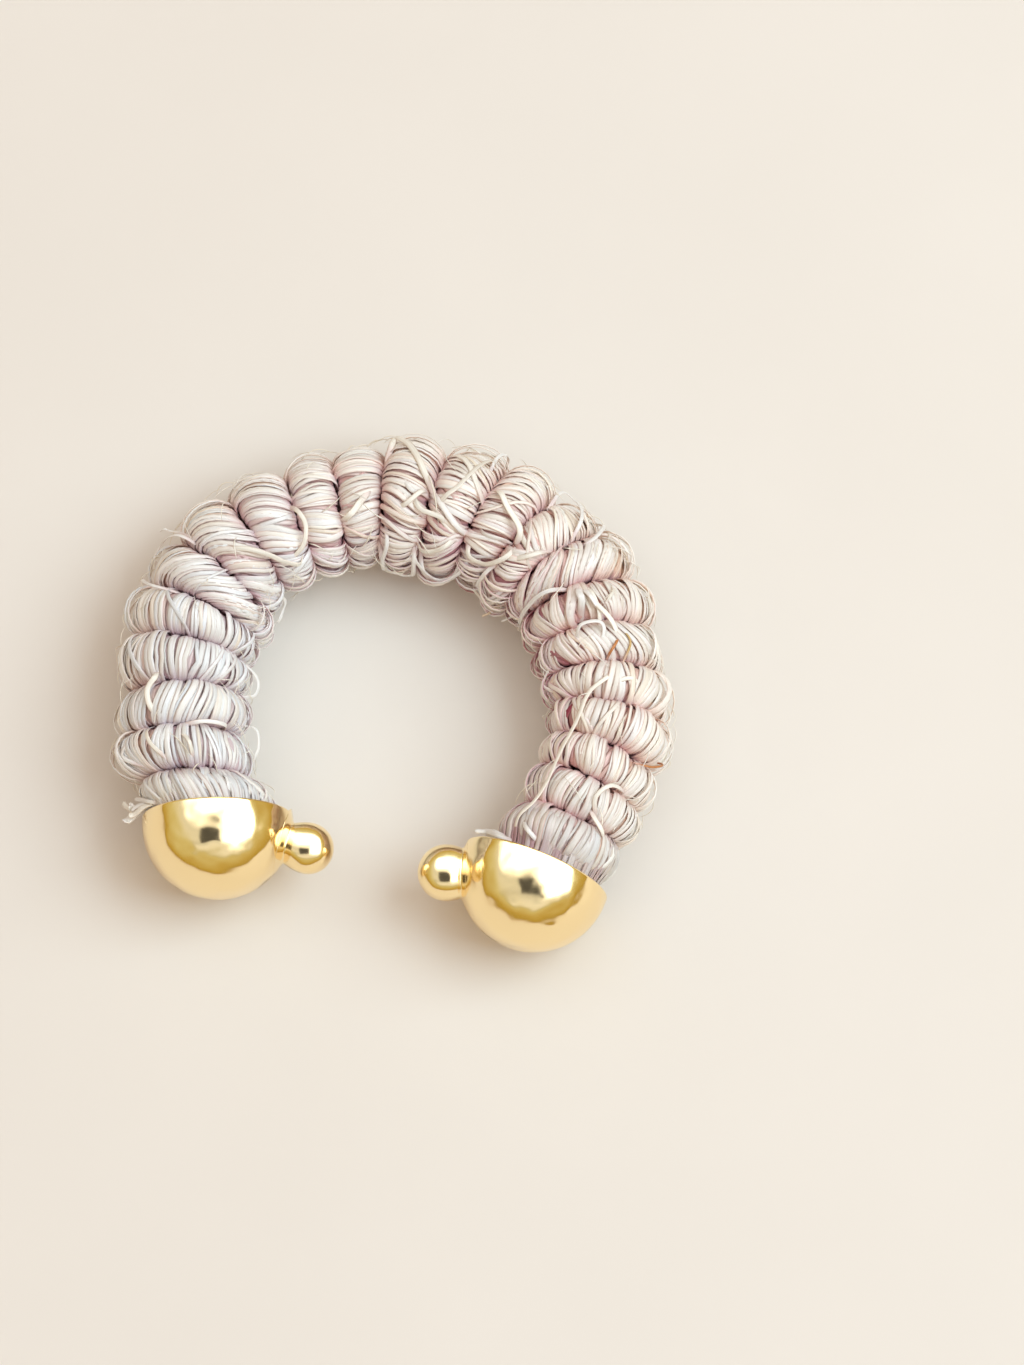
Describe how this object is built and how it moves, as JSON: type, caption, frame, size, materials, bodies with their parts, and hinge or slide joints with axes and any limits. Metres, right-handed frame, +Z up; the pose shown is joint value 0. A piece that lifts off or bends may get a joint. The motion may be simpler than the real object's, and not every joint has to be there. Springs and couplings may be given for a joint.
{
  "type": "woven ear cuff",
  "caption": "Open C-shaped ear cuff of wrapped fibre cord coiled round a core, with a round-ended gold cap and a small ball at each end.",
  "frame": {"origin": "on the surface that the cuff lies on, below the middle of its box", "axes": "+Z up, out of the plane of the C; the C opens towards -Y; +X towards the right cap"},
  "size_m": [0.0278, 0.027, 0.0076],
  "materials": {
    "wrapped_fibre": "glossy cream strands with mauve in the valleys",
    "core_cord": "matt cord",
    "polished_gold": "polished"
  },
  "bodies": {
    "root": {"core": "core_cord", "wound_turn_01": "wrapped_fibre", "wound_turn_02": "wrapped_fibre", "wound_turn_03": "wrapped_fibre", "wound_turn_04": "wrapped_fibre", "wound_turn_05": "wrapped_fibre", "wound_turn_06": "wrapped_fibre", "wound_turn_07": "wrapped_fibre", "wound_turn_08": "wrapped_fibre", "wound_turn_09": "wrapped_fibre", "wound_turn_10": "wrapped_fibre", "wound_turn_11": "wrapped_fibre", "wound_turn_12": "wrapped_fibre", "wound_turn_13": "wrapped_fibre", "wound_turn_14": "wrapped_fibre", "wound_turn_15": "wrapped_fibre", "wound_turn_16": "wrapped_fibre", "wound_turn_17": "wrapped_fibre", "wound_turn_18": "wrapped_fibre", "wound_turn_19": "wrapped_fibre", "wound_turn_20": "wrapped_fibre", "wound_turn_21": "wrapped_fibre", "wound_turn_22": "wrapped_fibre", "end_cap_left": "polished_gold", "end_cap_right": "polished_gold"}
  },
  "joints": []
}
